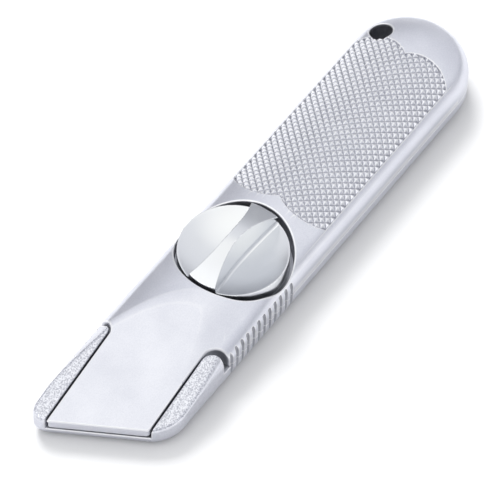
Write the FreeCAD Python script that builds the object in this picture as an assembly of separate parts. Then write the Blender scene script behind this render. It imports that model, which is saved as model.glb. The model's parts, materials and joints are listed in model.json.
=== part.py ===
"""Fixed-blade utility knife with a quarter-turn clamp knob: two cast shells, blades and lock.

Frame: millimetres, +X from the slanted nose to the round tail, +Y towards the blade's
cutting edge, +Z up out of the crowned cover. The origin is under the middle of the knife
on the flat bottom that it rests on.
"""
import FreeCAD
import Part

import math
import os

from FreeCAD import Placement, Rotation, Vector

# ---- Driving dimensions -------------------------------------------------------------
LENGTH = 152.0              # tip of the nose to the tail
WIDTH = 30.7                # over the parallel sides
CREST_Z = 16.6              # top of the crowned cover
CROWN_R = 28.5              # radius of the crown across the handle
SHOULDER_R = 3.0            # round between the crown and the side walls
BELLY_R = 4.1               # round between the flat bottom and the side walls
PART_Z = 6.0                # parting plane between base and cover
PART_GAP = 0.1              # visible joint line between the two shells
WALL = 1.8                  # wall thickness of the castings

NOSE_ANGLE = 28.9           # slant of the front edge, from square across
NOSE_SHARP_R = 3.0          # plan radius of the leading corner (+Y)
NOSE_BLUNT_R = 8.0          # plan radius of the trailing corner (-Y)
NOSE_BELLY_R = 2.8          # bottom round along the front edge
RAMP_SLOPE = 0.305          # rise of the ramp, square to the front edge
RAMP_Z = 6.6                # height of the ramp's front edge

TONGUE_Y = 10.6             # half width of the cover's tongue
SLOT = 0.35                 # gap between the tongue and the base's rails
RAIL_END_EDGE = -49.0       # rear end of the rail on the cutting-edge side
RAIL_END_SPINE = -40.6      # rear end of the rail on the spine side
NOTCH_GAP_SPINE = 1.1       # open crescent behind the spine-side rail

BED_Z = 3.45                # floor that the working blade lies on
BLADE_L = 61.2              # along the cutting edge
BLADE_SPINE_L = 33.5
BLADE_H = 18.7
BLADE_T = 0.6
GRIND = 1.6                 # width of the ground edge
EDGE_LAND = 0.12            # thickness left at the cutting edge
NOTCH_R = 1.6               # notches in the blade's back
NOTCH_SPREAD = 6.35
BLADE_TIP_X = -74.3         # stowed, just inside the nose
BLADE_EDGE_Y = 10.3
FILM = 0.05                 # oil film above and below the blade
BLADE_LIFT = BED_Z + FILM   # underside of the working blade
TONGUE_Z = BLADE_LIFT + BLADE_T + FILM

KNOB_X = -14.5              # axis of the clamp knob
RECESS_X = -14.2            # centre of the cover's round recess
RECESS_R = 14.4
RECESS_FLOOR_Z = 9.6
RECESS_FLOOR_T = 1.8
KNOB_R = 13.6
KNOB_BOTTOM_Z = 10.6
KNOB_RIM_Z = 15.6
WING_END_Z = 16.8
KNOB_CREST_Z = 21.3
KNOB_DISH = 3.3             # depth of the finger dish below the rim
WING_WAIST = 2.7
WING_END = 7.6

STUD_R = 2.9
STUD_RUN = 0.08             # radial running clearance in the cover
STUD_BOTTOM_Z = 2.6
FLANGE_R = 5.0              # stud flange cast into the knob
FLANGE_Z = 11.6
SPIGOT_R = 1.0              # thin top of the stud, inside the knob's wing
SPIGOT_Z = 16.0
BORE_R = 1.6                # hollow lower end of the stud
CLIP_Z = 7.0                # retaining clip, under the recess floor
CLIP_T = 0.6
CLIP_GROOVE_R = 2.2

WIRE_R = 0.5                # lock wire spring
WIRE_Z = 4.95
WIRE_EYE_R = 1.5            # mean radius of the eyes at its ends
WIRE_REACH = 9.7            # knob axis to each rivet
RIVET_R = 0.9
RIVET_HEAD_R = 2.0
RIVET_HEAD_T = 0.6
BAYONET_W = 1.3             # width of the stud's bayonet slots
BOSS_R = 4.5                # base boss round the stud

STOP_R = 1.0                # pins behind the working blade
PIN_FOOT_Z = 1.4            # how deep pins and rivets reach into the base

POCKET_X0 = -37.0           # front pocket of the base, round the boss
POCKET_X1 = -6.4
WELL_Z = 2.0                # floor of the spare-blade well
WELL_X0 = -5.2
WELL_X1 = 57.5
SPARE_COUNT = 5
SPARE_PITCH = 0.62
SPARE_X0 = -4.5             # nearest point of the spare blades' cutting edges
SPARE_EDGE_Y = 9.35

DOWELS = ((64.5, -8.2), (70.5, 0.5))
DOWEL_R = 1.5               # locating dowels in the tail
DOWEL_FOOT_Z = 1.8
DOWEL_TOP_Z = 8.8
SCREW_X = 61.2              # screw of the leaf spring
SCREW_R = 1.25
SCREW_FOOT_Z = 2.0
LEAF_T = 0.4
LEAF_W = 7.0
LEAF_WASHER_T = 0.4

HOLE_X = 63.0               # hanging hole
HOLE_Y = 9.6
HOLE_R = 2.9
POST_R = HOLE_R + 1.3

RIB_PITCH = 2.25            # grooves between the finger ribs on the side walls
RIB_CUT_R = 0.7
RIB_DEPTH = 0.55
RIBS_SPINE = (-36.6, 12)    # first groove and how many, on the spine side
RIBS_EDGE = (-61.0, 5)      # the same on the cutting-edge side
RIB_FOOT_Z = 1.0
RIB_HEAD_Z = 8.3

PANEL_DEPTH = 0.35          # sunk field of the grip panel
PANEL_X0 = 2.4
PANEL_X1 = 61.4
PANEL_Y = 13.5
PANEL_CUSP = 2.3            # how far the middle cusps run into the panel

TAIL_R = WIDTH / 2
X_TAIL = LENGTH / 2
X_NOSE = -LENGTH / 2
TAIL_X = X_TAIL - TAIL_R    # axis of the round tail
CROWN_Z = CREST_Z - CROWN_R
NOSE_COS = math.cos(math.radians(NOSE_ANGLE))
NOSE_SIN = math.sin(math.radians(NOSE_ANGLE))
NOSE_TAN = math.tan(math.radians(NOSE_ANGLE))
REACH = 120.0               # long enough to cut right through


# ---- Small builders -----------------------------------------------------------------
def block(x0, x1, y0, y1, z0, z1):
    return Part.makeBox(x1 - x0, y1 - y0, z1 - z0, Vector(x0, y0, z0))


def disc(radius, x, y, z0, z1):
    return Part.makeCylinder(radius, z1 - z0, Vector(x, y, z0))


def tube(outer, inner, x, y, z0, z1):
    return disc(outer, x, y, z0, z1).cut(disc(inner, x, y, z0, z1))


def rounded_wire(corners):
    """Closed wire at z = 0 through (x, y, radius) corners, each one rounded."""
    starts, ends, arcs = [], [], []
    count = len(corners)
    for i, (x, y, radius) in enumerate(corners):
        here = Vector(x, y, 0)
        back = (Vector(*corners[i - 1][:2], 0) - here).normalize()
        ahead = (Vector(*corners[(i + 1) % count][:2], 0) - here).normalize()
        half = back.getAngle(ahead) / 2
        run = radius / math.tan(half)
        middle = here + (back + ahead).normalize() * (radius / math.sin(half) - radius)
        starts.append(here + back * run)
        ends.append(here + ahead * run)
        arcs.append((radius > 0, middle))
    edges = []
    for i in range(count):
        if arcs[i][0]:
            edges.append(Part.Arc(starts[i], arcs[i][1], ends[i]).toShape())
        following = starts[(i + 1) % count]
        if (following - ends[i]).Length > 1e-6:
            edges.append(Part.LineSegment(ends[i], following).toShape())
    return Part.Wire(edges)


def prism(corners, z0, z1):
    face = Part.Face(rounded_wire(corners))
    face.translate(Vector(0, 0, z0))
    return face.extrude(Vector(0, 0, z1 - z0))


def wire_of(points_and_arcs):
    """Closed wire from a list of edges given as two points, or three for an arc."""
    edges = []
    for points in points_and_arcs:
        maker = Part.LineSegment if len(points) == 2 else Part.Arc
        edges.append(maker(*points).toShape())
    return Part.Wire(edges)


def joined(shapes):
    first, rest = shapes[0], shapes[1:]
    return first.fuse(rest).removeSplitter() if rest else first


def save(node, shape):
    solids = shape.Solids
    result = solids[0] if len(solids) == 1 else Part.makeCompound(solids)
    result.exportStep(f"parts/{node}.step")


# ---- The outer form that both shells are cut from -----------------------------------
def section(inset, bottom_z, bottom_r):
    """Half section, y >= 0, in the YZ plane at x = 0: bottom, wall, shoulder and crown."""
    half = TAIL_R - inset
    crown = CROWN_R - inset
    shoulder = SHOULDER_R - inset / 2
    shoulder_y = half - shoulder
    shoulder_z = CROWN_Z + math.sqrt((crown - shoulder) ** 2 - shoulder_y ** 2)
    lean = math.atan2(shoulder_z - CROWN_Z, shoulder_y)
    joint = Vector(0, crown * math.cos(lean), CROWN_Z + crown * math.sin(lean))
    top = Vector(0, 0, CROWN_Z + crown)

    def on_crown(angle):
        return Vector(0, crown * math.cos(angle), CROWN_Z + crown * math.sin(angle))

    def on_shoulder(angle):
        return Vector(0, shoulder_y + shoulder * math.cos(angle),
                      shoulder_z + shoulder * math.sin(angle))

    foot = Vector(0, half - bottom_r, bottom_z)
    heel = Vector(0, half, bottom_z + bottom_r)
    shape = [
        (top, on_crown((lean + math.pi / 2) / 2), joint),
        (joint, on_shoulder(lean / 2), on_shoulder(0)),
        (on_shoulder(0), heel),
    ]
    if bottom_r > 0:
        bend = Vector(0, half - bottom_r * (1 - math.sqrt(0.5)),
                      bottom_z + bottom_r * (1 - math.sqrt(0.5)))
        shape.append((heel, bend, foot))
    shape.append((foot, Vector(0, 0, bottom_z)))
    shape.append((Vector(0, 0, bottom_z), top))
    return Part.Face(wire_of(shape))


def form(inset, bottom_z, bottom_r, x0):
    """The handle's form: a straight run from x0 and a round tail."""
    half = section(inset, bottom_z, bottom_r)
    half.translate(Vector(TAIL_X, 0, 0))
    run = half.extrude(Vector(x0 - TAIL_X, 0, 0))
    other = run.mirror(Vector(0, 0, 0), Vector(0, 1, 0))
    tail = half.revolve(Vector(TAIL_X, 0, 0), Vector(0, 0, 1), -180)
    return joined([run, other, tail])


def nose_x(y):
    """Where the slanted front edge is at y."""
    return NOSE_EDGE_X + (TAIL_R - y) * NOSE_TAN


# The leading corner's round touches the nose's furthest point.
NOSE_EDGE_X = X_NOSE + NOSE_SHARP_R - NOSE_SHARP_R / math.tan(math.radians(45 - NOSE_ANGLE / 2))


def nose_outline():
    corners = [
        (nose_x(TAIL_R), TAIL_R, NOSE_SHARP_R),
        (nose_x(-TAIL_R), -TAIL_R, NOSE_BLUNT_R),
        (X_TAIL + 5, -TAIL_R, 0),
        (X_TAIL + 5, TAIL_R, 0),
    ]
    solid = prism(corners, 0, CREST_Z + 1)
    low = [edge for edge in solid.Edges if edge.BoundBox.ZMax < 0.01]
    rounded = [edge for edge in low if edge.BoundBox.XMax < X_TAIL + 4]
    return solid.makeFillet(NOSE_BELLY_R, rounded)


def above_ramp(drop):
    """Everything above the ramp's plane lowered by drop, square to the plane."""
    normal = Vector(-RAMP_SLOPE * NOSE_COS, -RAMP_SLOPE * NOSE_SIN, 1).normalize()
    size = 2 * REACH
    tool = Part.makeBox(size, size, REACH, Vector(-REACH, -REACH, 0))
    start = Vector(nose_x(TONGUE_Y), TONGUE_Y, RAMP_Z) - normal * drop
    tool.Placement = Placement(start, Rotation(Vector(0, 0, 1), normal))
    return tool


# ---- Base shell ---------------------------------------------------------------------
def rail_plans():
    """Plan outlines of the two rails beside the tongue, each with a round rear corner."""
    inner = TONGUE_Y + SLOT
    front = X_NOSE - 5
    edge_side = [(front, inner, 0), (front, TAIL_R + 1, 0),
                 (RAIL_END_EDGE + 1.2, TAIL_R + 1, 0), (RAIL_END_EDGE, inner, 1.6)]
    spine_side = [(front, -inner, 0), (RAIL_END_SPINE, -inner, 2.4),
                  (RAIL_END_SPINE + 1.0, -TAIL_R - 1, 0), (front, -TAIL_R - 1, 0)]
    return edge_side, spine_side


def notch_plans():
    """Plan outlines of the openings that the cover leaves round the rails."""
    front = X_NOSE - 5
    end_edge = RAIL_END_EDGE + SLOT
    end_spine = RAIL_END_SPINE + NOTCH_GAP_SPINE
    edge_side = [(front, TONGUE_Y, 0), (front, TAIL_R + 2, 0),
                 (end_edge + 1.2, TAIL_R + 2, 0), (end_edge, TONGUE_Y, 1.9)]
    spine_side = [(front, -TONGUE_Y, 0), (end_spine, -TONGUE_Y, 3.0),
                  (end_spine + 1.0, -TAIL_R - 2, 0), (front, -TAIL_R - 2, 0)]
    return edge_side, spine_side


def rib_cuts(side, grooves, z0, z1):
    """Upright grooves between the finger ribs of one side wall."""
    x0, count = grooves
    y = side * (TAIL_R + RIB_CUT_R - RIB_DEPTH)
    return [disc(RIB_CUT_R, x0 + i * RIB_PITCH, y, z0, z1) for i in range(count)]


def wire_direction():
    """The lock wire runs parallel to the blade's slanted rear end."""
    slant = (BLADE_L - BLADE_SPINE_L) / 2
    return Vector(slant, BLADE_H, 0).normalize()


def rivet_places():
    along = wire_direction()
    return [Vector(KNOB_X, 0, 0) + along * (sign * WIRE_REACH) for sign in (1, -1)]


def blade_stop_places():
    """Two pins that the blade's slanted rear end comes to rest against."""
    along = wire_direction()
    outward = Vector(along.y, -along.x, 0)
    heel = Vector(BLADE_TIP_X + BLADE_L, BLADE_EDGE_Y, 0)
    return [heel - along * run + outward * (STOP_R + FILM) for run in (4.2, 19.6)]


def base_shell(handle, nose):
    low = handle.common(block(-REACH, REACH, -REACH, REACH, 0, PART_Z - PART_GAP / 2))
    rails = [prism(plan, 0, REACH) for plan in rail_plans()]
    tall = handle.common(joined(rails)).cut(above_ramp(0))
    body = low.fuse(tall).common(nose)

    inner = TONGUE_Y + SLOT
    hollow = TAIL_R - WALL
    body = body.cut([
        block(X_NOSE - 5, -36.0, -inner, inner, BED_Z, REACH),
        block(POCKET_X0, POCKET_X1, -hollow, hollow, BED_Z, REACH),
        prism([(WELL_X0, -hollow, 1.5), (WELL_X1, -hollow, 6), (WELL_X1, hollow - 5, 3),
               (WELL_X1 - 4, hollow, 3), (WELL_X0, hollow, 1.5)], WELL_Z, REACH),
    ])

    spine_y = BLADE_EDGE_Y - BLADE_H
    guide = block(-58.0, -28.0, -inner, spine_y - 0.1, BED_Z, BLADE_LIFT + BLADE_T - 0.05)
    boss = disc(BOSS_R, KNOB_X, 0, BED_Z, 6.4)
    pads = [disc(2.2, p.x, p.y, BED_Z, WIRE_Z - WIRE_R - 0.05) for p in rivet_places()]
    body = joined([body, guide, boss] + pads)

    channel = block(-2 * BOSS_R, 2 * BOSS_R, -0.75, 0.75, WIRE_Z - WIRE_R - 0.2, REACH)
    along = wire_direction()
    channel.rotate(Vector(0, 0, 0), Vector(0, 0, 1), math.degrees(math.atan2(along.y, along.x)))
    channel.translate(Vector(KNOB_X, 0, 0))
    boss_zone = disc(BOSS_R + 0.1, KNOB_X, 0, BED_Z, REACH)

    cuts = [disc(STUD_R + 0.5, KNOB_X, 0, STUD_BOTTOM_Z - 0.4, REACH), channel.common(boss_zone),
            disc(HOLE_R, HOLE_X, HOLE_Y, -1, REACH), disc(SCREW_R, SCREW_X, 0, SCREW_FOOT_Z, REACH)]
    cuts += [disc(RIVET_R, p.x, p.y, PIN_FOOT_Z, REACH) for p in rivet_places()]
    cuts += [disc(STOP_R, p.x, p.y, PIN_FOOT_Z, REACH) for p in blade_stop_places()]
    cuts += [disc(DOWEL_R, x, y, DOWEL_FOOT_Z, REACH) for x, y in DOWELS]
    cuts += rib_cuts(-1, RIBS_SPINE, RIB_FOOT_Z, PART_Z)
    cuts += rib_cuts(1, RIBS_EDGE, RIB_FOOT_Z, RIB_HEAD_Z)
    return body.cut(cuts)


# ---- Cover shell --------------------------------------------------------------------
def panel_plan():
    """Grip panel outline: straight sides and two round lobes with a cusp at each end."""
    half = PANEL_Y / 2

    def lobes(x_tip, x_cusp, x_corner, y_corner):
        points = [Vector(x_corner, y_corner, 0), Vector(x_tip, half, 0), Vector(x_cusp, 0, 0),
                  Vector(x_tip, -half, 0), Vector(x_corner, -y_corner, 0)]
        return (points[0], points[1], points[2]), (points[2], points[3], points[4])

    knob_end = lobes(PANEL_X0, PANEL_X0 + PANEL_CUSP, PANEL_X0 + PANEL_CUSP, PANEL_Y)
    tail_end = lobes(PANEL_X1, PANEL_X1 - PANEL_CUSP, PANEL_X1 - 6.0, PANEL_Y)
    return wire_of([
        *knob_end,
        (knob_end[1][2], tail_end[1][2]),
        tuple(reversed(tail_end[1])),
        tuple(reversed(tail_end[0])),
        (tail_end[0][0], knob_end[0][0]),
    ])


def panel_pocket():
    prism_up = Part.Face(panel_plan()).extrude(Vector(0, 0, REACH))
    return prism_up.cut(form(PANEL_DEPTH, 0, 0, X_NOSE))


def cover_shell(handle, nose):
    high = handle.common(block(-REACH, REACH, -REACH, REACH, PART_Z + PART_GAP / 2, REACH))
    high = high.cut([prism(plan, 0, REACH) for plan in notch_plans()])
    rear_of_tongue = -50.0
    tongue = block(X_NOSE - 5, rear_of_tongue, -TONGUE_Y, TONGUE_Y, TONGUE_Z, PART_Z + 1)
    body = high.fuse(tongue).common(nose).cut(above_ramp(0))

    pad_end = -58.0
    bay = TONGUE_Y - WALL
    inner = form(WALL, -1, 0, -36.5).fuse(block(pad_end, -36.0, -bay, bay, -1, REACH))
    pot_top = RECESS_FLOOR_Z - RECESS_FLOOR_T
    pot = disc(RECESS_R + 1.5, RECESS_X, 0, pot_top, REACH)
    post = disc(POST_R, HOLE_X, HOLE_Y, 0, REACH)
    sockets = [disc(DOWEL_R + 1.4, x, y, 0, REACH) for x, y in DOWELS]
    body = body.cut(inner.cut([above_ramp(2.0), pot, post] + sockets))

    cuts = [disc(RECESS_R, RECESS_X, 0, RECESS_FLOOR_Z, REACH),
            disc(STUD_R + STUD_RUN, KNOB_X, 0, 0, REACH),
            disc(HOLE_R, HOLE_X, HOLE_Y, 0, REACH), panel_pocket()]
    cuts += [disc(DOWEL_R + STUD_RUN, x, y, 0, DOWEL_TOP_Z + 0.4) for x, y in DOWELS]
    cuts += rib_cuts(-1, RIBS_SPINE, 0, RIB_HEAD_Z)
    return body.cut(cuts)


# ---- Clamp knob and its lock --------------------------------------------------------
def clamp_knob():
    rim = disc(KNOB_R, KNOB_X, 0, KNOB_BOTTOM_Z, KNOB_RIM_Z)
    ball_r = (KNOB_R ** 2 + KNOB_DISH ** 2) / (2 * KNOB_DISH)
    centre_z = KNOB_RIM_Z - KNOB_DISH + ball_r
    dish = Part.makeSphere(ball_r - 0.02, Vector(KNOB_X, 0, centre_z))
    half, waist, end = KNOB_R, WING_WAIST / 2, WING_END / 2
    plan = wire_of([
        (Vector(-half, end, 0), Vector(0, waist, 0), Vector(half, end, 0)),
        (Vector(half, end, 0), Vector(half, -end, 0)),
        (Vector(half, -end, 0), Vector(0, -waist, 0), Vector(-half, -end, 0)),
        (Vector(-half, -end, 0), Vector(-half, end, 0)),
    ])
    wing = Part.Face(plan).extrude(Vector(0, 0, KNOB_CREST_Z + 1))
    wing.translate(Vector(KNOB_X, 0, 0))
    rise = KNOB_CREST_Z - WING_END_Z
    dome_r = (KNOB_R ** 2 + rise ** 2) / (2 * rise)
    dome = Part.makeCylinder(dome_r, WING_END + 2, Vector(KNOB_X, -WING_END / 2 - 1,
                             KNOB_CREST_Z - dome_r), Vector(0, 1, 0))
    wing = wing.common([dome]).common(disc(KNOB_R, KNOB_X, 0, KNOB_BOTTOM_Z, KNOB_CREST_Z))
    body = rim.cut(dish).fuse(wing).removeSplitter()
    return body.cut([disc(FLANGE_R, KNOB_X, 0, 0, FLANGE_Z), disc(SPIGOT_R, KNOB_X, 0, 0, SPIGOT_Z)])


def knob_stud():
    body = joined([
        disc(STUD_R, KNOB_X, 0, STUD_BOTTOM_Z, FLANGE_Z),
        disc(FLANGE_R, KNOB_X, 0, KNOB_BOTTOM_Z, FLANGE_Z),
        disc(SPIGOT_R, KNOB_X, 0, STUD_BOTTOM_Z, SPIGOT_Z),
    ])
    groove = tube(STUD_R + 1, CLIP_GROOVE_R, KNOB_X, 0, CLIP_Z - 0.03, CLIP_Z + CLIP_T + 0.03)
    bore = disc(BORE_R, KNOB_X, 0, 0, 6.2)
    z0, z1 = WIRE_Z - WIRE_R - 0.2, WIRE_Z + WIRE_R + 0.2
    side = BAYONET_W / 2
    along = wire_direction()
    lock_angle = math.degrees(math.atan2(along.y, along.x))
    # Locked, the wire lies at the end of each arc; a quarter turn brings the entries round to it.
    entry = block(-5, 5, -side, side, 0, z1)
    entry.rotate(Vector(0, 0, 0), Vector(0, 0, 1), lock_angle - 90)
    seat = block(-5, 5, -side, side, z0, z1)
    seat.rotate(Vector(0, 0, 0), Vector(0, 0, 1), lock_angle)
    start = Vector(math.cos(math.radians(lock_angle)), math.sin(math.radians(lock_angle)), 0)
    passages = []
    for turn in (0, 180):
        radial = Part.makePolygon([Vector(0, 0, z0), start * 5 + Vector(0, 0, z0),
                                   start * 5 + Vector(0, 0, z1), Vector(0, 0, z1),
                                   Vector(0, 0, z0)])
        face = Part.Face(radial)
        face.rotate(Vector(0, 0, 0), Vector(0, 0, 1), turn)
        passages.append(face.revolve(Vector(0, 0, 0), Vector(0, 0, 1), -90))
    slots = joined([entry, seat] + passages)
    slots.translate(Vector(KNOB_X, 0, 0))
    return body.cut([groove, bore, slots])


def flat_washer():
    return tube(6.5, STUD_R + 0.2, KNOB_X, 0, RECESS_FLOOR_Z + 0.02, RECESS_FLOOR_Z + 0.42)


def disc_spring():
    """A coned spring washer that keeps the knob from turning by itself."""
    z0, thick, rise = RECESS_FLOOR_Z + 0.44, 0.25, 0.28
    r0, r1 = STUD_R + 0.2, 5.6
    points = [Vector(r0, 0, z0 + rise), Vector(r1, 0, z0), Vector(r1, 0, z0 + thick),
              Vector(r0, 0, z0 + rise + thick)]
    face = Part.Face(Part.makePolygon(points + points[:1]))
    cone = face.revolve(Vector(0, 0, 0), Vector(0, 0, 1), 360)
    cone.translate(Vector(KNOB_X, 0, 0))
    return cone


def retaining_clip():
    ring = tube(4.6, CLIP_GROOVE_R + 0.02, KNOB_X, 0, CLIP_Z, CLIP_Z + CLIP_T)
    mouth = block(KNOB_X, KNOB_X + 6, -1.7, 1.7, CLIP_Z - 1, CLIP_Z + 2)
    lobes = [disc(0.8, KNOB_X + 3.4 * math.cos(a), 3.4 * math.sin(a), CLIP_Z - 1, CLIP_Z + 2)
             for a in (math.radians(110), math.radians(-110), math.radians(180))]
    return ring.cut([mouth] + lobes)


def lock_wire_spring():
    along = wire_direction()
    centre = Vector(KNOB_X, 0, WIRE_Z)
    pieces = []
    for sign in (1, -1):
        eye = centre + along * (sign * WIRE_REACH)
        pieces.append(Part.makeTorus(WIRE_EYE_R, WIRE_R, eye))
    start = centre - along * (WIRE_REACH - WIRE_EYE_R)
    run = 2 * (WIRE_REACH - WIRE_EYE_R)
    pieces.append(Part.makeCylinder(WIRE_R - 0.01, run, start, along))
    return joined(pieces)


def spring_rivets():
    rivets = []
    for place in rivet_places():
        head_z = WIRE_Z + WIRE_R + 0.03
        shank = disc(RIVET_R, place.x, place.y, PIN_FOOT_Z, head_z)
        head = disc(RIVET_HEAD_R, place.x, place.y, head_z, head_z + RIVET_HEAD_T)
        rivets.append(joined([shank, head]))
    return Part.makeCompound(rivets)


# ---- Blades -------------------------------------------------------------------------
def blade(tip_x, edge_y, z):
    """Trapezoid utility blade: ground edge towards +Y, two locating notches in its back."""
    slant = (BLADE_L - BLADE_SPINE_L) / 2
    back_y = edge_y - BLADE_H
    corners = [(tip_x, edge_y, 0), (tip_x + BLADE_L, edge_y, 0),
               (tip_x + BLADE_L - slant, back_y, 0), (tip_x + slant, back_y, 0)]
    body = prism(corners, z, z + BLADE_T)
    middle = tip_x + BLADE_L / 2
    notches = [disc(NOTCH_R, middle + offset, back_y, z - 1, z + 2)
               for offset in (-NOTCH_SPREAD, NOTCH_SPREAD)]
    # Each side's grind leaves a thin land at the cutting edge.
    grinds = []
    for face_z, away in ((z, -1), (z + BLADE_T, 1)):
        depth_z = z + BLADE_T / 2 + away * EDGE_LAND / 2
        outside = edge_y + 0.2
        points = [Vector(tip_x - 1, edge_y - GRIND, face_z), Vector(tip_x - 1, outside, depth_z),
                  Vector(tip_x - 1, outside, face_z + away)]
        face = Part.Face(Part.makePolygon(points + points[:1]))
        grinds.append(face.extrude(Vector(BLADE_L + 2, 0, 0)))
    return body.cut(notches + grinds)


def spare_blades():
    for i in range(SPARE_COUNT):
        z = WELL_Z + 0.02 + i * SPARE_PITCH
        yield f"spare_blade_{i + 1}", blade(SPARE_X0, SPARE_EDGE_Y, z)


def blade_stop_pins():
    pins = [disc(STOP_R, p.x, p.y, PIN_FOOT_Z, 5.2) for p in blade_stop_places()]
    return Part.makeCompound(pins)


LEAF_Z = PART_Z - PART_GAP / 2 + 0.02       # underside of the leaf spring's foot
WASHER_Z = LEAF_Z + LEAF_T + 0.02
SCREW_HEAD_Z = WASHER_Z + LEAF_WASHER_T + 0.02


def leaf_spring():
    """A strip screwed down behind the well, whose bent end presses on the spare blades."""
    stack_z = WELL_Z + 0.02 + SPARE_COUNT * SPARE_PITCH
    low = [(SCREW_X + 3.0, LEAF_Z), (57.0, LEAF_Z), (46.0, LEAF_Z + 1.0),
           (36.0, stack_z + 0.03), (32.5, stack_z + 0.9)]
    high = [(x, z + LEAF_T) for x, z in reversed(low)]
    points = [Vector(x, -LEAF_W / 2, z) for x, z in low + high]
    strip = Part.Face(Part.makePolygon(points + points[:1])).extrude(Vector(0, LEAF_W, 0))
    return strip.cut(disc(SCREW_R + 0.15, SCREW_X, 0, 0, REACH))


def leaf_spring_washer():
    return tube(2.6, SCREW_R + 0.1, SCREW_X, 0, WASHER_Z, WASHER_Z + LEAF_WASHER_T)


def leaf_spring_screw():
    shank = disc(SCREW_R, SCREW_X, 0, SCREW_FOOT_Z, SCREW_HEAD_Z)
    head = disc(2.2, SCREW_X, 0, SCREW_HEAD_Z, SCREW_HEAD_Z + 1.3)
    slot = block(SCREW_X - 3, SCREW_X + 3, -0.3, 0.3, SCREW_HEAD_Z + 0.7, REACH)
    return joined([shank, head]).cut(slot)


def locating_dowels():
    return Part.makeCompound([disc(DOWEL_R, x, y, DOWEL_FOOT_Z, DOWEL_TOP_Z) for x, y in DOWELS])


def main():
    os.makedirs("parts", exist_ok=True)
    handle = form(0, 0, BELLY_R, X_NOSE - 5)
    nose = nose_outline()
    save("base_shell", base_shell(handle, nose))
    save("cover_shell", cover_shell(handle, nose))
    save("clamp_knob", clamp_knob())
    save("knob_stud", knob_stud())
    save("flat_washer", flat_washer())
    save("disc_spring", disc_spring())
    save("stud_retaining_clip", retaining_clip())
    save("lock_wire_spring", lock_wire_spring())
    save("wire_spring_rivets", spring_rivets())
    save("working_blade", blade(BLADE_TIP_X, BLADE_EDGE_Y, BLADE_LIFT))
    save("blade_stop_pins", blade_stop_pins())
    for node, shape in spare_blades():
        save(node, shape)
    save("blade_leaf_spring", leaf_spring())
    save("leaf_spring_washer", leaf_spring_washer())
    save("leaf_spring_screw", leaf_spring_screw())
    save("locating_dowels", locating_dowels())


main()
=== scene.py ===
"""Looks of the utility knife: its two castings and knob as smooth solids, and every metal's finish.

Shapes are signed distance fields in millimetres in the knife's frame: negative inside, and the
surface is where a field is zero. skin() turns a field into a mesh in metres.
"""

import json
import math

import bpy
import numpy as np
from mathutils import Matrix, Vector


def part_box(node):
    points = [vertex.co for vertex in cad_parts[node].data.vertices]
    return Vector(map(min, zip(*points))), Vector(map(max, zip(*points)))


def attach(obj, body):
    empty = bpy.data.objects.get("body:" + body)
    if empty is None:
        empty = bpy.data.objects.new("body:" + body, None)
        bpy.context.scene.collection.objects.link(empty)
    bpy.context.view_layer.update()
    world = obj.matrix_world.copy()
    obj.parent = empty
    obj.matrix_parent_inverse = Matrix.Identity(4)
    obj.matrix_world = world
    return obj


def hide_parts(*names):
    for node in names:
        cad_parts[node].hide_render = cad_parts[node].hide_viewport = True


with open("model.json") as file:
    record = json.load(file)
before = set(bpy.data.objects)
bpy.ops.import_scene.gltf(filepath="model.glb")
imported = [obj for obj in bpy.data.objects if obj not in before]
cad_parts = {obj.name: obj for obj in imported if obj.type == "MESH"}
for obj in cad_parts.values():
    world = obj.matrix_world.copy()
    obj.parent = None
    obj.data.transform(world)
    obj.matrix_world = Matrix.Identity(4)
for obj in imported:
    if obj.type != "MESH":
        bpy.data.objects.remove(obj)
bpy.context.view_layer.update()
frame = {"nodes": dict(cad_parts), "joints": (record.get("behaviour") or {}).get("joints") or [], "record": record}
RECORD = frame["record"]

# ---- Sizes taken from the frame, in millimetres ------------------------------------------
MM = 1000.0


def node_box(node):
    low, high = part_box(node)
    return np.array(low) * MM, np.array(high) * MM


def joint_place(name):
    return [v * MM for v in next(j for j in frame["joints"] if j["name"] == name)["pos_m"]]


HOLE = next(m for m in RECORD["mounts"] if m["name"] == "hanging_hole")
HOLE_X, HOLE_Y, _ = (v * MM for v in HOLE["pos_m"])
HOLE_R = HOLE["dims"]["r_mm"]
KNOB_X = joint_place("knob_turn")[0]
BASE_LOW, BASE_HIGH = node_box("base_shell")
COVER_LOW, COVER_HIGH = node_box("cover_shell")
KNOB_LOW, KNOB_HIGH = node_box("clamp_knob")
HALF_W = (BASE_HIGH[1] - BASE_LOW[1]) / 2
TAIL_X = BASE_HIGH[0] - HALF_W
CREST_Z = COVER_HIGH[2]
TONGUE_Z = COVER_LOW[2]

# ---- Shape of the castings ----------------------------------------------------------------
CROWN_R = 28.5              # crown across the handle
CROWN_Z = CREST_Z - CROWN_R
SHOULDER_R = 3.0            # round between the crown and the side walls
BELLY_R = 4.1               # round under the handle
NOSE_BELLY_R = 3.3          # and under the nose
NOSE_BELLY_X, BELLY_RUN = -64.0, 12.0   # where it starts to grow, and over what length
WALL = 1.8
PART_LOW, PART_HIGH = 5.95, 6.05    # both sides of the joint line
NOSE_ANGLE = math.radians(28.9)     # slant of the front edge
NOSE_EDGE_X = -78.05        # where the front edge would meet the edge-side wall
NOSE_CORNER_R = 4.85
RAMP_SLOPE = 0.305
RAMP_Z = 6.6                # height of the ramp's front edge
RAMP_WALL = 2.0
TONGUE_Y = 10.6             # half width of the cover's tongue
TONGUE_END_X = -50.0        # its own walls end here, inside the shell
RAMP_X = NOSE_EDGE_X + (HALF_W - TONGUE_Y) * math.tan(NOSE_ANGLE)   # the tongue's front corner
SLOT = 0.35                 # gap between the tongue and the rails
RAIL_END_EDGE = -49.0       # rear ends of the two rails
RAIL_END_SPINE = -40.6
END_SLANT_EDGE = 0.25       # and how far they slant back, per mm outwards
END_SLANT_SPINE = 0.2
RAIL_FLANK_AT = (-49.0, 11.9, 13.6)         # a point on the edge-side rail's sloping flank
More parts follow.
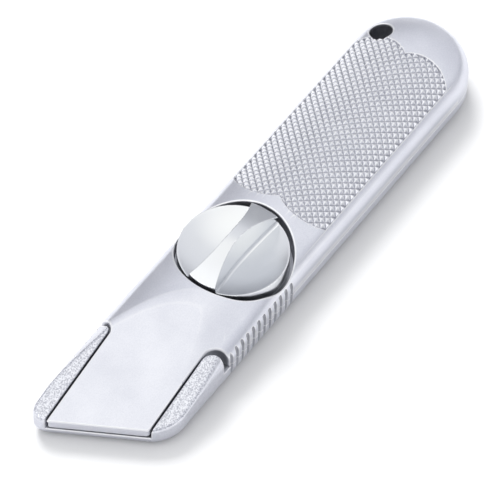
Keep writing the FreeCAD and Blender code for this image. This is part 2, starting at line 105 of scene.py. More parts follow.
RAIL_FLANK_FACES = (-0.039, 0.692, 0.72)    # and the way the flank faces
NOTCH_GAP_EDGE = 0.6        # gap behind each rail
NOTCH_GAP_SPINE = 2.3
BED_Z = 3.45                # floor under the working blade
BED_END_X = -36.0
RECESS_X = -14.2
RECESS_R = 14.4
RECESS_FLOOR_Z = 9.6
POT_Z = 7.8                 # underside of the recess's floor
POT_WALL = 1.5
CAVITY_X = -36.5            # front of the cavity, and of its narrower bay over the blade
BAY_X = -58.0
STUD_HOLE_R = 2.98
HOLE_WALL = 1.3
DOWEL_PLACES = ((64.5, -8.2), (70.5, 0.5))
DOWEL_BOSS_R = 2.9
SOCKET_R = 1.58
SOCKET_TOP_Z = 9.2
PANEL_HALF_W = 13.5
KNOB_LOBES = (13.45, 6.75, 11.05)   # x, y and radius of the panel's lobes by the knob
TAIL_LOBES = (52.4, 6.0, 9.0)       # and by the tail
PANEL_DEPTH = 0.6
PANEL_PITCH = 1.5
PYRAMID_STEEPNESS = 1.08
PYRAMID_TOP = 0.94          # their points are worn flat here
RIB_PITCH = 2.25
RIB_GROOVE_R = 0.52
RIB_LOW_Z = 1.6
SPINE_RIBS = (-36.6, 12, 10.2)      # first groove's x, how many, and their top
EDGE_RIBS = (-58.6, 5, 10.6)

# ---- Meshing ------------------------------------------------------------------------------
FINE_CELL = 0.22            # grid for the fields
MAX_TRIANGLES = 195000      # in one piece


def round_max(a, b, r):
    """Both a and b, with an outer round of radius r where they meet."""
    u, v = a + r, b + r
    return np.hypot(np.maximum(u, 0), np.maximum(v, 0)) + np.minimum(np.maximum(u, v), 0) - r


def round_min(a, b, r):
    """Either a or b, with an inner fillet of radius r where they meet."""
    return -round_max(-a, -b, r)


def cut(a, b, r=0.0):
    return round_max(a, -b, r)


def step(t):
    """Smooth rise from 0 to 1 as t goes from 0 to 1."""
    t = np.clip(t, 0, 1)
    return t * t * (3 - 2 * t)


def across(x, y):
    """Distance from the handle's middle line, round the tail's axis past it."""
    return np.where(x > TAIL_X, np.hypot(x - TAIL_X, y), np.abs(y))


def handle(x, y, z, inset=0.0):
    """Side walls and crown, with the round shoulder between them."""
    s = across(x, y)
    crown = np.hypot(s, z - CROWN_Z) - (CROWN_R - inset)
    return round_max(s - (HALF_W - inset), crown, SHOULDER_R - inset / 2)


def nose(x, y):
    """Ahead of the slanted front edge."""
    edge = NOSE_EDGE_X + (HALF_W - y) * math.tan(NOSE_ANGLE)
    return (edge - x) * math.cos(NOSE_ANGLE)


def ramp(x, y, z):
    """Above the nose ramp."""
    run = (x - RAMP_X) * math.cos(NOSE_ANGLE) - (TONGUE_Y - y) * math.sin(NOSE_ANGLE)
    return (z - RAMP_Z - RAMP_SLOPE * run) / math.hypot(1, RAMP_SLOPE)


def upright(x, y, px, py, r):
    return np.hypot(x - px, y - py) - r


def rib_grooves(x, y, z, side, first, count, high):
    """Round-ended grooves between finger ribs, running up the wall and over its shoulder."""
    i = np.clip(np.round((x - first) / RIB_PITCH), 0, count - 1)
    dx = x - first - i * RIB_PITCH
    dz = z - np.clip(z, RIB_LOW_Z, high)
    groove = np.sqrt(dx ** 2 + handle(x, y, z) ** 2 + dz ** 2) - RIB_GROOVE_R
    return np.where(side * y > 0, groove, 9.0)


def ribs(x, y, z):
    return np.minimum(rib_grooves(x, y, z, -1, *SPINE_RIBS), rib_grooves(x, y, z, 1, *EDGE_RIBS))


def rib_painted_shade(x, y, z):
    """Extra depth that paints shade into the grooves between the ribs, most at their upper ends."""
    return (0.4 + 0.4 * step((z - 7) / 3)) * np.clip(1 - ribs(x, y, z) / 0.15, 0, 1)


# ---- Cover ----------------------------------------------------------------------------------
def panel(x, y):
    """Grip panel outline: straight sides and two lobes with a cusp at each end."""
    knob_end = upright(x, np.abs(y), *KNOB_LOBES)
    tail_end = upright(x, np.abs(y), *TAIL_LOBES)
    ends = np.where(x < KNOB_LOBES[0], knob_end, np.where(x > TAIL_LOBES[0], tail_end, -9))
    return np.maximum(np.abs(y) - PANEL_HALF_W, ends)


def pyramids(x, y):
    """Height of the checkering above its grooves, from 0 to 1."""
    arc = CROWN_R * np.arcsin(np.clip(y / CROWN_R, -1, 1))
    diagonal = PANEL_PITCH * math.sqrt(2)
    u = np.abs(((x + arc) / diagonal) % 1 - 0.5)
    v = np.abs(((x - arc) / diagonal) % 1 - 0.5)
    return np.clip(PYRAMID_STEEPNESS * (1 - 2 * np.maximum(u, v)), 0, PYRAMID_TOP)


def cover_top(x, y, z):
    """Crown and nose ramp, meeting crisply on the edge side and softly on the spine side."""
    blend = 0.7 + 4.6 * step((-y - 3) / 10)
    return round_max(handle(x, y, z), ramp(x, y, z), blend)


# Outer form that depth is measured from, sunk by the ribs' painted shade so that their grooves come out darker.
def cover_form(x, y, z):
    return round_max(cover_top(x, y, z), nose(x, y), 0.3) - rib_painted_shade(x, y, z)


def checkered(x, y):
    """Depth of the checkering's grooves below the crown."""
    sunk = np.clip(-panel(x, y) / 0.14, 0, 1)
    return sunk * PANEL_DEPTH * (1 - pyramids(x, y))


def cover_cavity(x, y, z):
    """Room under the cover, around the knob's pot, the hole's wall and the dowel bosses."""
    room = np.maximum(handle(x, y, z, WALL), CAVITY_X - x)
    bay = np.maximum(np.abs(y) - (TONGUE_Y - WALL), np.maximum(BAY_X - x, x - BED_END_X))
    room = np.maximum(np.minimum(room, bay), ramp(x, y, z) + RAMP_WALL)
    pot = np.maximum(upright(x, y, RECESS_X, 0, RECESS_R + POT_WALL), POT_Z - z)
    room = cut(room, pot)
    room = cut(room, upright(x, y, HOLE_X, HOLE_Y, HOLE_R + HOLE_WALL))
    for px, py in DOWEL_PLACES:
        room = cut(room, upright(x, y, px, py, DOWEL_BOSS_R))
    return room


def cover(x, y, z):
    """Shell with the notches for the base's rails, the tongue between them, and every opening."""
    top = cover_top(x, y, z) + checkered(x, y)
    shell = round_max(round_max(top, nose(x, y), 0.3), PART_HIGH - z, 0.1)
    end_edge = x - (RAIL_END_EDGE + NOTCH_GAP_EDGE) - END_SLANT_EDGE * (y - TONGUE_Y)
    end_spine = x - (RAIL_END_SPINE + NOTCH_GAP_SPINE) + END_SLANT_SPINE * (y + TONGUE_Y)
    shell = cut(shell, round_max(TONGUE_Y - y, end_edge, 1.9), 0.3)
    shell = cut(shell, round_max(TONGUE_Y + y, end_spine, 3.2), 0.5)
    tongue = round_max(np.abs(y) - TONGUE_Y, nose(x, y), 0.9)
    tongue = round_max(tongue, top, 0.3)
    tongue = np.maximum(round_max(tongue, TONGUE_Z - z, 0.2), x - TONGUE_END_X)
    shape = np.minimum(shell, tongue)
    shape = cut(shape, ribs(x, y, z), 0.05)
    recess = np.maximum(upright(x, y, RECESS_X, 0, RECESS_R), RECESS_FLOOR_Z - z)
    shape = cut(shape, recess, 0.45)
    shape = cut(shape, cover_cavity(x, y, z), 0.2)
    shape = cut(shape, upright(x, y, HOLE_X, HOLE_Y, HOLE_R), 0.45)
    shape = cut(shape, upright(x, y, KNOB_X, 0, STUD_HOLE_R))
    for px, py in DOWEL_PLACES:
        socket = np.maximum(upright(x, y, px, py, SOCKET_R), z - SOCKET_TOP_Z)
        shape = cut(shape, socket)
    return shape


# ---- Base -----------------------------------------------------------------------------------
CHANNEL_Y = TONGUE_Y + SLOT
POCKET_X, POCKET_HALF = -21.7, 15.3
WELL_X, WELL_HALF = 26.15, 31.35
WELL_Z = 2.0
FLOOR_Z = 1.0
GUIDE_X, GUIDE_HALF = -43.0, 15.0   # low rib that backs the working blade
GUIDE_Y, GUIDE_T = -9.7, 2.5
GUIDE_Z = 4.05
BOSS_R, BOSS_Z = 4.5, 6.4           # ring that the stud stands in
STUD_WELL_R, STUD_WELL_Z = 3.4, 2.2
WIRE_SLANT = Vector((13.85, 18.7)).normalized()
WIRE_GATE_W, WIRE_GATE_Z = 1.5, 4.25
PAD_REACH = 9.7                     # from the stud's axis to each end of the wire spring
PAD_R, PAD_Z = 2.2, 4.4


def pad_places():
    """Where the wire spring's two ends are riveted down."""
    return [(KNOB_X + s * PAD_REACH * WIRE_SLANT.x, s * PAD_REACH * WIRE_SLANT.y) for s in (1, -1)]


def edge_shoulder(x, y, z):
    """Sloping flank that narrows the edge-side rail's flat top towards its rear."""
    px, py, pz = RAIL_FLANK_AT
    nx, ny, nz = RAIL_FLANK_FACES
    return nx * (x - px) + ny * (y - py) + nz * (z - pz)


def base_plan(x, y, z):
    return round_max(handle(x, y, z), nose(x, y), NOSE_CORNER_R)


def rail_top(x, y, z):
    return round_max(ramp(x, y, z), edge_shoulder(x, y, z), 0.5)


# Outer form that depth is measured from, sunk by the ribs' painted shade so that their grooves come out darker.
def base_form(x, y, z):
    return round_max(base_plan(x, y, z), rail_top(x, y, z), 0.9) - rib_painted_shade(x, y, z)


def base_outside(x, y, z):
    """Tray up to the parting plane, with the two rails standing on it, and the finger ribs."""
    belly = NOSE_BELLY_R + (BELLY_R - NOSE_BELLY_R) * step((x - NOSE_BELLY_X) / BELLY_RUN)
    outside = round_max(base_plan(x, y, z), -z, belly)
    low = round_max(outside, z - PART_LOW, 0.1)
    tall = round_max(outside, rail_top(x, y, z), 0.9)
    end_edge = x - RAIL_END_EDGE - END_SLANT_EDGE * (y - CHANNEL_Y)
    end_spine = x - RAIL_END_SPINE + END_SLANT_SPINE * (y + CHANNEL_Y)
    edge_rail = round_max(CHANNEL_Y - y, end_edge, 1.6)
    spine_rail = round_max(CHANNEL_Y + y, end_spine, 2.5)
    rails = round_max(tall, np.minimum(edge_rail, spine_rail), 0.45)
    return cut(np.minimum(low, rails), ribs(x, y, z), 0.05)


def base_room(x, y, z):
    """Blade channel, pocket under the knob and spare blade well, around the hole's post."""
    hollow = HALF_W - WALL
    above_bed = BED_Z - z
    channel = np.maximum(np.maximum(np.abs(y) - CHANNEL_Y, x - BED_END_X), above_bed)
    pocket = round_max(np.abs(y) - hollow, np.abs(x - POCKET_X) - POCKET_HALF, 1.2)
    well = round_max(np.abs(y) - hollow, np.abs(x - WELL_X) - WELL_HALF, 3.0)
    room = np.minimum(channel, np.maximum(pocket, above_bed))
    room = np.minimum(room, np.maximum(well, WELL_Z - z))
    return cut(room, upright(x, y, HOLE_X, HOLE_Y, HOLE_R + HOLE_WALL))


def on_floor(plan, top, z):
    """A raised feature with that plan, rooted in the base's floor."""
    return np.maximum(np.maximum(plan, z - top), FLOOR_Z - z)


def base(x, y, z):
    """Tray with its blade guide, the stud's ring with the wire's gate, and the wire's two pads."""
    shape = cut(base_outside(x, y, z), base_room(x, y, z), 0.3)
    guide = np.maximum(np.abs(y - GUIDE_Y) - GUIDE_T / 2, np.abs(x - GUIDE_X) - GUIDE_HALF)
    shape = np.minimum(shape, on_floor(guide, GUIDE_Z, z))
    boss = on_floor(upright(x, y, KNOB_X, 0, BOSS_R), BOSS_Z, z)
    off_wire = (x - KNOB_X) * WIRE_SLANT.y - y * WIRE_SLANT.x
    gate = np.maximum(np.abs(off_wire) - WIRE_GATE_W / 2, WIRE_GATE_Z - z)
    shape = round_min(shape, cut(boss, gate), 0.4)
    for px, py in pad_places():
        shape = round_min(shape, on_floor(upright(x, y, px, py, PAD_R), PAD_Z, z), 0.3)
    stud_well = np.maximum(upright(x, y, KNOB_X, 0, STUD_WELL_R), STUD_WELL_Z - z)
    shape = cut(shape, stud_well, 0.15)
    return cut(shape, upright(x, y, HOLE_X, HOLE_Y, HOLE_R), 0.4)


# ---- Knob -----------------------------------------------------------------------------------
KNOB_R = KNOB_HIGH[0] - KNOB_X
KNOB_RIM_Z = 15.6
KNOB_DISH = 3.3             # depth of the round dish
WING_END_Z = 17.1           # top of the wing at the rim
WING_WAIST = 2.7            # thickness of the wing's top at its middle
WING_END = 7.6              # and at its ends
WING_SLOPE = 0.46           # slope that its top nears towards the ends
WING_DRAFT = 0.06
HUB_R = 5.0
HUB_TOP_Z = 11.6


def arc_radius(half_width, rise):
    """Radius of an arc that rises so much over that half width."""
    return (half_width ** 2 + rise ** 2) / (2 * rise)


def dished_disc(x, y, z, side):
    ball = arc_radius(KNOB_R, KNOB_DISH)
    bowl = np.sqrt(x ** 2 + y ** 2 + (z - KNOB_RIM_Z + KNOB_DISH - ball) ** 2) - ball
    disc = round_max(round_max(side, z - KNOB_RIM_Z, 0.25), KNOB_LOW[2] - z, 0.4)
    return cut(disc, bowl, 0.3)


def wing(x, y, z, side):
    """Finger wing across the knob: hollow on both faces, highest at the middle."""
    top = KNOB_HIGH[2]
    scoop = arc_radius(KNOB_R, (WING_END - WING_WAIST) / 2)
    faces = scoop - np.hypot(x, np.abs(y) - scoop - WING_WAIST / 2) - WING_DRAFT * (top - z)
    rise = top - WING_END_Z
    crest = ((WING_SLOPE * KNOB_R) ** 2 - rise ** 2) / (2 * rise)
    roof = z - top + np.hypot(crest, WING_SLOPE * x) - crest
    shape = round_max(round_max(faces, roof, 0.22), side, 0.12)
    return np.maximum(shape, KNOB_LOW[2] + 0.5 - z)


def knob(x, y, z):
    x = x - KNOB_X
    side = np.hypot(x, y) - KNOB_R
    shape = round_min(dished_disc(x, y, z, side), wing(x, y, z, side), 0.8)
    hub = np.maximum(np.hypot(x, y) - HUB_R, z - HUB_TOP_Z)
    return cut(round_max(shape, side, 0.15), hub)


def knob_form(x, y, z):
    """The rim's plane, so that only height counts for the knob's depth."""
    return z - KNOB_RIM_Z


# ---- From field to mesh -----------------------------------------------------------------------
def crossings(values, i, j, k):
    """Mean place, in cells, of the surface's crossings of each cell's twelve edges."""
    corner = {}
    for a in (0, 1):
        for b in (0, 1):
            for c in (0, 1):
                corner[a, b, c] = values[i + a, j + b, k + c]
    total = np.zeros((len(i), 3))
    count = np.zeros(len(i))
    for start, v0 in corner.items():
        for axis in range(3):
            if start[axis]:
                continue
            end = list(start)
            end[axis] = 1
            v1 = corner[tuple(end)]
            crossed = (v0 < 0) != (v1 < 0)
            t = np.where(crossed, v0 / np.where(crossed, v0 - v1, 1), 0)
            place = np.tile(np.array(start, float), (len(i), 1))
            place[:, axis] = t
            total += place * crossed[:, None]
            count += crossed
    return total / count[:, None]


def surface_net(values):
    """Vertices in cells and quads of the zero surface, facing outwards."""
    inside = values < 0
    shape = tuple(n - 1 for n in values.shape)
    filled = np.zeros(shape, np.uint8)
    for a in (0, 1):
        for b in (0, 1):
            for c in (0, 1):
                filled += inside[a:a + shape[0], b:b + shape[1], c:c + shape[2]]
    i, j, k = np.nonzero((filled > 0) & (filled < 8))
    index = np.full(shape, -1, np.int32)
    index[i, j, k] = np.arange(len(i))
    points = np.stack([i, j, k], 1) + crossings(values, i, j, k)
    quads = []
    for axis in range(3):
        near = [slice(None)] * 3
        near[axis] = slice(0, -1)
        far = [slice(None)] * 3
        far[axis] = slice(1, None)
        changed = inside[tuple(near)] != inside[tuple(far)]
        e = np.array(np.nonzero(changed))
        b, c = (axis + 1) % 3, (axis + 2) % 3
        keep = (e[b] > 0) & (e[c] > 0) & (e[b] < shape[b]) & (e[c] < shape[c])
        e = e[:, keep]
        ring = []
        for db, dc in ((-1, -1), (0, -1), (0, 0), (-1, 0)):
            cell = e.copy()
            cell[b] += db
            cell[c] += dc
            ring.append(index[tuple(cell)])
        quad = np.stack(ring, 1)
        outward = inside[tuple(e)]
        quad[~outward] = quad[~outward][:, ::-1]
        quads.append(quad)
    return points, np.concatenate(quads)


def gradient(field, p, reach):
    g = np.zeros_like(p)
    for axis in range(3):
        shift = np.zeros(3)
        shift[axis] = reach
        g[:, axis] = field(*(p + shift).T) - field(*(p - shift).T)
    return g / (2 * reach)


def settle(field, p, cell):
    """Points moved onto the field's zero surface."""
    for _ in range(3):
        g = gradient(field, p, 0.01)
        size = np.maximum((g ** 2).sum(1), 0.05)
        move = -(field(*p.T) / size)[:, None] * g
        far = np.linalg.norm(move, axis=1)
        p = p + move * np.minimum(1, 0.5 * cell / np.maximum(far, 1e-9))[:, None]
    return p


def corner_samples(mesh):
    """For each face corner, a point in millimetres a little way towards the face's middle."""
    count = len(mesh.loops)
    vertex = np.empty(count, np.int32)
    mesh.loops.foreach_get("vertex_index", vertex)
    sizes = np.empty(len(mesh.polygons), np.int32)
    mesh.polygons.foreach_get("loop_total", sizes)
    face = np.repeat(np.arange(len(sizes)), sizes)
    corner = read_points(mesh)[vertex]
    middle = np.stack([np.bincount(face, corner[:, i]) for i in range(3)], 1) / sizes[:, None]
    inward = middle[face] - corner
    reach = np.maximum(np.linalg.norm(inward, axis=1), 1e-9)
    return corner + inward * np.minimum(0.5, 0.14 / reach)[:, None]


def bend(field, p, reach=0.22):
    """Curvature of the surface, positive on outer edges and negative in corners."""
    total = -6 * field(*p.T)
    for axis in range(3):
        shift = np.zeros(3)
        shift[axis] = reach
        total += field(*(p + shift).T) + field(*(p - shift).T)
    return total / reach ** 2


def shade(mesh, field, outer):
    """Exact normals at every corner, and its depth below outer and its curvature, to paint shade, highlights and
    wear by.
    """
    p = corner_samples(mesh)
    for name, values in (("depth", -outer(*p.T)), ("bend", bend(field, p))):
        layer = mesh.attributes.new(name, "FLOAT", "CORNER")
        layer.data.foreach_set("value", values.astype(np.float32))
    mesh.polygons.foreach_set("use_smooth", np.ones(len(mesh.polygons), bool))
    normals = gradient(field, p, 0.03)
    normals /= np.maximum(np.linalg.norm(normals, axis=1), 1e-6)[:, None]
    mesh.normals_split_custom_set(normals.tolist())


def read_points(mesh):
    co = np.empty(len(mesh.vertices) * 3, np.float32)
    mesh.vertices.foreach_get("co", co)
    return co.reshape(-1, 3).astype(float) * MM


def thinned(mesh, share):
    """A copy of the mesh with that share of its triangles."""
    helper = bpy.data.objects.new("thinning", mesh)
    bpy.context.scene.collection.objects.link(helper)
    modifier = helper.modifiers.new("thin", "DECIMATE")
    modifier.ratio = share
    graph = bpy.context.evaluated_depsgraph_get()
    result = bpy.data.meshes.new_from_object(helper.evaluated_get(graph))
    bpy.data.objects.remove(helper)
    return result


def skin(name, field, outer, low, high, cell, node, body, material):
    """The mesh of a field inside a box, standing for a CAD node, with its depth below outer."""
    axes = [np.arange(a - 1.5 * cell, b + 2 * cell, cell) for a, b in zip(low, high)]
    grid = np.meshgrid(*axes, indexing="ij", sparse=True)
    values = field(*[g.astype(np.float32) for g in grid])
    values = np.ascontiguousarray(np.broadcast_to(values, [len(a) for a in axes]))
    points, quads = surface_net(values)
    points = points * cell + np.array([a[0] for a in axes])
    points = settle(field, points, cell)
    mesh = bpy.data.meshes.new(name)
    mesh.from_pydata((points / MM).tolist(), [], quads.tolist())
    share = MAX_TRIANGLES / (2 * len(quads))
    if share < 1:
        mesh = thinned(mesh, share)
        points = settle(field, read_points(mesh), cell)
        mesh.vertices.foreach_set("co", (points / MM).astype(np.float32).ravel())
    mesh.update()
    shade(mesh, field, outer)
    piece = bpy.data.objects.new(name, mesh)
    bpy.context.scene.collection.objects.link(piece)
    mesh.materials.clear()
    mesh.materials.append(material)
    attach(piece, body)
    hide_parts(node)


# ---- Materials ----------------------------------------------------------------------------------
class Nodes:
    """Short names for building a node material."""

    def __init__(self, name, metallic, roughness):
        self.material = bpy.data.materials.new(name)
        self.material.use_nodes = True
        self.tree = self.material.node_tree
        self.shader = self.tree.nodes["Principled BSDF"]
        self.shader.inputs["Metallic"].default_value = metallic
        self.shader.inputs["Roughness"].default_value = roughness
        self.place = self.add("ShaderNodeTexCoord").outputs["Object"]

    def add(self, kind, **settings):
        node = self.tree.nodes.new(kind)
        for key, value in settings.items():
            setattr(node, key, value)
        return node

    def link(self, source, target):
        self.tree.links.new(source, target)

    def noise(self, size_mm, detail=2.0, stretch=(1, 1, 1)):
        """Cloudy noise whose blobs are about size_mm across."""
        mapping = self.add("ShaderNodeMapping")
        mapping.inputs["Scale"].default_value = stretch
        self.link(self.place, mapping.inputs["Vector"])
        node = self.add("ShaderNodeTexNoise")
        node.inputs["Scale"].default_value = MM / size_mm
        node.inputs["Detail"].default_value = detail
        self.link(mapping.outputs["Vector"], node.inputs["Vector"])
        return node.outputs["Fac"]

    def ranged(self, value, low, high, to_low, to_high):
        node = self.add("ShaderNodeMapRange")
        for key, number in (("From Min", low), ("From Max", high),
                            ("To Min", to_low), ("To Max", to_high)):
            node.inputs[key].default_value = number
        self.link(value, node.inputs["Value"])
        return node.outputs["Result"]

    def math(self, operation, a, b=0.0):
        node = self.add("ShaderNodeMath", operation=operation)
        for socket, value in zip(node.inputs, (a, b)):
            if isinstance(value, (int, float)):
                socket.default_value = value
            else:
                self.link(value, socket)
        return node.outputs[0]

    def mixed(self, factor, dark, light):
        node = self.add("ShaderNodeMix", data_type="RGBA")
        self.link(factor, node.inputs["Factor"])
        for socket, value in zip((node.inputs[6], node.inputs[7]), (dark, light)):
            if isinstance(value, tuple):
                socket.default_value = (*value, 1)
            else:
                self.link(value, socket)
        return node.outputs[2]

    def bump(self, height, strength, depth_mm, under=None):
        node = self.add("ShaderNodeBump")
        node.inputs["Strength"].default_value = strength
        node.inputs["Distance"].default_value = depth_mm / MM
        self.link(height, node.inputs["Height"])
        if under is not None:
            self.link(under, node.inputs["Normal"])
        return node.outputs["Normal"]

    def colour(self, value):
        self.link(value, self.shader.inputs["Base Color"])

    def rough(self, value):
        self.link(value, self.shader.inputs["Roughness"])

    def normal(self, value):
        self.link(value, self.shader.inputs["Normal"])


def crevice_painted_shade(n):
    """Painted shade in narrow gaps and hollows below the outer skin: darkest about a millimetre down, and less
    dark deeper inside.
    """
    span = 4.0      # depth that the curve covers, in mm
    depth = n.add("ShaderNodeAttribute", attribute_name="depth").outputs["Fac"]
    curve = n.add("ShaderNodeValToRGB")
    stops = ((0.0, 1.0), (0.6, 0.93), (1.0, 0.55), (1.8, 0.62), (2.5, 0.85))
    ramp_stops = curve.color_ramp.elements
    for _ in stops[2:]:
        ramp_stops.new(0.5)
    for stop, (deep, shade_value) in zip(ramp_stops, stops):
        stop.position = deep / span
        stop.color = (shade_value, shade_value, shade_value, 1)
    n.link(n.math("DIVIDE", depth, span), curve.inputs["Fac"])
    return curve.outputs["Color"]


def ramp_flush(n):
    """1 on the rails' flat tops, 0 away from the plane of the nose ramp."""
    plane = n.add("ShaderNodeVectorMath", operation="DOT_PRODUCT")
    slope = Vector((-RAMP_SLOPE * math.cos(NOSE_ANGLE), -RAMP_SLOPE * math.sin(NOSE_ANGLE), 1))
    plane.inputs[1].default_value = slope
    n.link(n.place, plane.inputs[0])
    level = slope.dot(Vector((RAMP_X / MM, TONGUE_Y / MM, RAMP_Z / MM)))
    off = n.math("ABSOLUTE", n.math("SUBTRACT", plane.outputs["Value"], level))
    return n.ranged(off, 0.0003, 0.0006, 1.0, 0.0)


def flank_painted_shade(n):
    """Painted shade on the flanks: 0 on faces that look up, towards 0.35 on upright and downward faces."""
    facing = n.add("ShaderNodeSeparateXYZ")
    n.link(n.add("ShaderNodeNewGeometry").outputs["Normal"], facing.inputs[0])
    return n.ranged(facing.outputs["Z"], 0.62, 0.15, 0.0, 0.35)


def rail_grain(n, colour, normal):
    """Colour and normal with coarse cast grain on the nose rails."""
    split = n.add("ShaderNodeSeparateXYZ")
    n.link(n.place, split.inputs[0])
    front = n.ranged(split.outputs["X"], -37.5 / MM, -38.5 / MM, 0.0, 1.0)
    upper = n.ranged(split.outputs["Z"], 3.0 / MM, 5.0 / MM, 0.0, 0.2)
    coarse = n.math("MULTIPLY", front, n.math("MAXIMUM", ramp_flush(n), upper))
    pits = n.noise(0.4, 3.0)
    speck = n.ranged(pits, 0.40, 0.58, 0.0, 1.0)
    sand = n.mixed(speck, (0.50, 0.51, 0.565), (0.85, 0.86, 0.91))
    rough_skin = n.bump(n.math("MULTIPLY", pits, coarse), 0.5, 0.15, normal)
    return n.mixed(coarse, colour, sand), rough_skin


def cast_metal(name, dark, light, rails=False):
    """Satin silver casting: worn convex edges painted near white, which also stands for their highlights, and
    painted shade in its corners and on its upright flanks.
    """
    n = Nodes(name, 0.92, 0.4)
    cloud = n.noise(9.0, 3.0)
    grain = n.noise(0.32, 2.0)
    tone = n.math("ADD", n.math("MULTIPLY", cloud, 0.5), n.math("MULTIPLY", grain, 0.5))
    tone = n.ranged(tone, 0.36, 0.64, 0.0, 1.0)
    colour = n.mixed(tone, dark, light)
    edge = n.add("ShaderNodeAttribute", attribute_name="bend").outputs["Fac"]
    # Convex edges painted near white: partly wear, partly a painted highlight.
    colour = n.mixed(n.ranged(edge, 0.5, 2.4, 0.0, 0.8), colour, (0.98, 0.98, 0.985))
    # Concave corners painted darker: painted shade.
    colour = n.mixed(n.ranged(edge, -0.8, -3.5, 0.0, 0.6), colour, (0.34, 0.345, 0.39))
    # Upright flanks painted darker: painted shade.
    colour = n.mixed(flank_painted_shade(n), colour, (0.40, 0.405, 0.46))
    normal = n.bump(grain, 0.35, 0.06)
    if rails:
        colour, normal = rail_grain(n, colour, normal)
    # The colour is multiplied by the painted shade in gaps and hollows.
    shaded = n.add("ShaderNodeMix", data_type="RGBA", blend_type="MULTIPLY")
    shaded.inputs["Factor"].default_value = 1.0
    n.link(colour, shaded.inputs[6])
    n.link(crevice_painted_shade(n), shaded.inputs[7])
    n.colour(shaded.outputs[2])
    n.rough(n.ranged(grain, 0.3, 0.7, 0.34, 0.44))
    n.normal(normal)
    return n.material


def plated_metal(name, tint, roughness):
    """Bright plating with a faint unevenness."""
    n = Nodes(name, 1.0, roughness)
    film = n.noise(4.0, 3.0)
    n.colour(n.mixed(film, tuple(0.94 * c for c in tint), tint))
    n.rough(n.ranged(film, 0.3, 0.7, roughness * 0.8, roughness * 1.3))
    n.normal(n.bump(n.noise(6.0, 1.0), 0.05, 0.08))
    return n.material


def worked_steel(name, dark, light, roughness, stretch, size_mm=0.4):
    """Steel with fine marks drawn out along one direction."""
    n = Nodes(name, 1.0, roughness)
    marks = n.noise(size_mm, 4.0, stretch)
    tone = n.math("ADD", n.math("MULTIPLY", marks, 0.7), n.math("MULTIPLY", n.noise(7.0), 0.3))
    n.colour(n.mixed(n.ranged(tone, 0.35, 0.65, 0.0, 1.0), dark, light))
    n.rough(n.ranged(marks, 0.3, 0.7, roughness * 0.8, roughness * 1.25))
    n.normal(n.bump(marks, 0.25, 0.03))
    return n.material


# ---- Stage --------------------------------------------------------------------------------------
CAMERA_AZIMUTH = math.radians(-56.28)
CAMERA_ELEVATION = math.radians(53.27)
CAMERA_ROLL = math.radians(1.57)
CAMERA_DISTANCE = 1.02286
CAMERA_SLIDE = (-0.00412, -0.00023)
CAMERA_LENS = 303.0


def add_camera():
    a, e, r = CAMERA_AZIMUTH, CAMERA_ELEVATION, CAMERA_ROLL
    back = Vector((math.sin(a) * math.cos(e), -math.cos(a) * math.cos(e), math.sin(e)))
    level = Vector((math.cos(a), math.sin(a), 0))
    rise = back.cross(level)
    right = level * math.cos(r) + rise * math.sin(r)
    up = -level * math.sin(r) + rise * math.cos(r)
    place = right * CAMERA_SLIDE[0] + up * CAMERA_SLIDE[1] + back * CAMERA_DISTANCE
    data = bpy.data.cameras.new("camera")
    data.lens = CAMERA_LENS
    data.sensor_width = 36.0
    data.clip_start = 0.01
    camera = bpy.data.objects.new("camera", data)
    bpy.context.scene.collection.objects.link(camera)
    turn = Matrix((right, up, back)).transposed()
    camera.matrix_world = Matrix.Translation(place) @ turn.to_4x4()
    bpy.context.scene.camera = camera


def add_softbox(name, place, size, power):
    """A square lamp aimed at the knife, which lights it but shows in no reflection."""
    data = bpy.data.lights.new(name, "AREA")
    data.size = size
    data.energy = power
    lamp = bpy.data.objects.new(name, data)
    bpy.context.scene.collection.objects.link(lamp)
    lamp.location = place
    lamp.rotation_euler = (-Vector(place)).to_track_quat("-Z", "Y").to_euler()
    lamp.visible_glossy = False


def add_floor():
    mesh = bpy.data.meshes.new("floor")
    half, z = 4.0, -0.00005
    corners = [(-half, -half, z), (half, -half, z), (half, half, z), (-half, half, z)]
    mesh.from_pydata(corners, [], [(0, 1, 2, 3)])
    n = Nodes("paper", 0.0, 0.85)
    n.shader.inputs["Specular IOR Level"].default_value = 0.1
    n.colour(n.mixed(n.noise(30.0), (0.77, 0.77, 0.77), (0.79, 0.79, 0.79)))
    mesh.materials.append(n.material)
    floor = bpy.data.objects.new("floor", mesh)
    bpy.context.scene.collection.objects.link(floor)


def sky_patch(tree, under, towards, start, full, most, tint):
    """The sky with a soft round patch of that tint in one direction."""
    view = tree.nodes.new("ShaderNodeTexCoord")
    near = tree.nodes.new("ShaderNodeVectorMath")
    near.operation = "DOT_PRODUCT"
    near.inputs[1].default_value = Vector(towards).normalized()
    tree.links.new(view.outputs["Generated"], near.inputs[0])
    share = tree.nodes.new("ShaderNodeMapRange")
    share.interpolation_type = "SMOOTHSTEP"
    for key, value in (("From Min", start), ("From Max", full), ("To Min", 0.0), ("To Max", most)):
        share.inputs[key].default_value = value
    tree.links.new(near.outputs["Value"], share.inputs["Value"])
    patched = tree.nodes.new("ShaderNodeMix")
    patched.data_type = "RGBA"
    patched.inputs[7].default_value = (*tint, 1)
    tree.links.new(share.outputs["Result"], patched.inputs["Factor"])
    tree.links.new(under, patched.inputs[6])
    return patched.outputs[2]


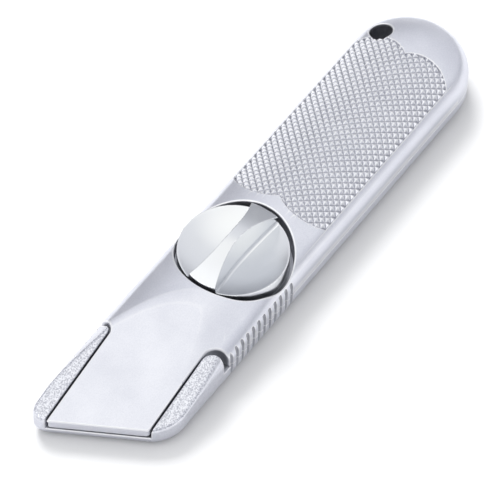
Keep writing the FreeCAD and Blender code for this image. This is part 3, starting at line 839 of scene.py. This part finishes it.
def add_sky():
    """Bright overhead and dim at the horizon, with a dark flag and a light panel."""
    world = bpy.data.worlds.new("studio")
    world.use_nodes = True
    tree = world.node_tree
    view = tree.nodes.new("ShaderNodeTexCoord")
    split = tree.nodes.new("ShaderNodeSeparateXYZ")
    shades = tree.nodes.new("ShaderNodeValToRGB")
    tree.links.new(view.outputs["Generated"], split.inputs[0])
    tree.links.new(split.outputs["Z"], shades.inputs[0])
    stops = ((0.0, (0.29, 0.295, 0.32)), (0.25, (0.53, 0.54, 0.58)), (0.5, (0.80, 0.81, 0.85)),
             (0.8, (0.87, 0.88, 0.91)), (1.0, (1.15, 1.15, 1.13)))
    elements = shades.color_ramp.elements
    for _ in stops[2:]:
        elements.new(0.5)
    for element, (height, tint) in zip(elements, stops):
        element.position = height
        element.color = (*tint, 1)
    sky = shades.outputs[0]
    sky = sky_patch(tree, sky, (0.5, 0.85, -0.15), 0.6, 1.0, 0.75, (0.12, 0.12, 0.14))
    sky = sky_patch(tree, sky, (-0.66, 0.33, 0.68), 0.84, 0.97, 1.0, (1.5, 1.51, 1.53))
    tree.links.new(sky, tree.nodes["Background"].inputs["Color"])
    bpy.context.scene.world = world


def add_studio():
    add_camera()
    add_floor()
    add_sky()
    add_softbox("key", (0.35, 0.55, 0.75), 0.5, 9.0)
    add_softbox("fill", (-0.40, -0.55, 0.80), 0.9, 1.1)
    bpy.context.scene.view_settings.view_transform = "Standard"


# ---- The knife ------------------------------------------------------------------------------------
def finish_nodes(materials):
    slots = {part["node"]: part["material_slot"] for part in RECORD["subparts"]}
    for name, node in frame["nodes"].items():
        node.data.materials.clear()
        node.data.materials.append(materials[slots[name]])


def build_knife():
    cover_metal = cast_metal("cast_cover", (0.71, 0.722, 0.785), (0.81, 0.82, 0.875))
    base_metal = cast_metal("cast_base", (0.70, 0.712, 0.775), (0.79, 0.80, 0.855), rails=True)
    chrome = plated_metal("chrome_knob", (0.86, 0.875, 0.895), 0.17)
    materials = {
        "cast_cover": cover_metal,
        "cast_base": base_metal,
        "chrome_knob": chrome,
        "turned_steel": worked_steel("turned_steel", (0.50, 0.51, 0.53), (0.66, 0.67, 0.69),
                                     0.3, (1, 1, 6)),
        "spring_steel": worked_steel("spring_steel", (0.33, 0.34, 0.37), (0.48, 0.49, 0.52),
                                     0.34, (0.1, 1, 1)),
        "blade_steel": worked_steel("blade_steel", (0.50, 0.52, 0.55), (0.68, 0.70, 0.73),
                                    0.27, (1, 0.06, 1)),
    }
    finish_nodes(materials)
    skin("cover_casting", cover, cover_form, COVER_LOW, COVER_HIGH, FINE_CELL,
         "cover_shell", "cover", cover_metal)
    skin("base_casting", base, base_form, BASE_LOW, BASE_HIGH, FINE_CELL,
         "base_shell", "base", base_metal)
    skin("knob_casting", knob, knob_form, KNOB_LOW, KNOB_HIGH, FINE_CELL,
         "clamp_knob", "knob", chrome)


add_studio()
build_knife()
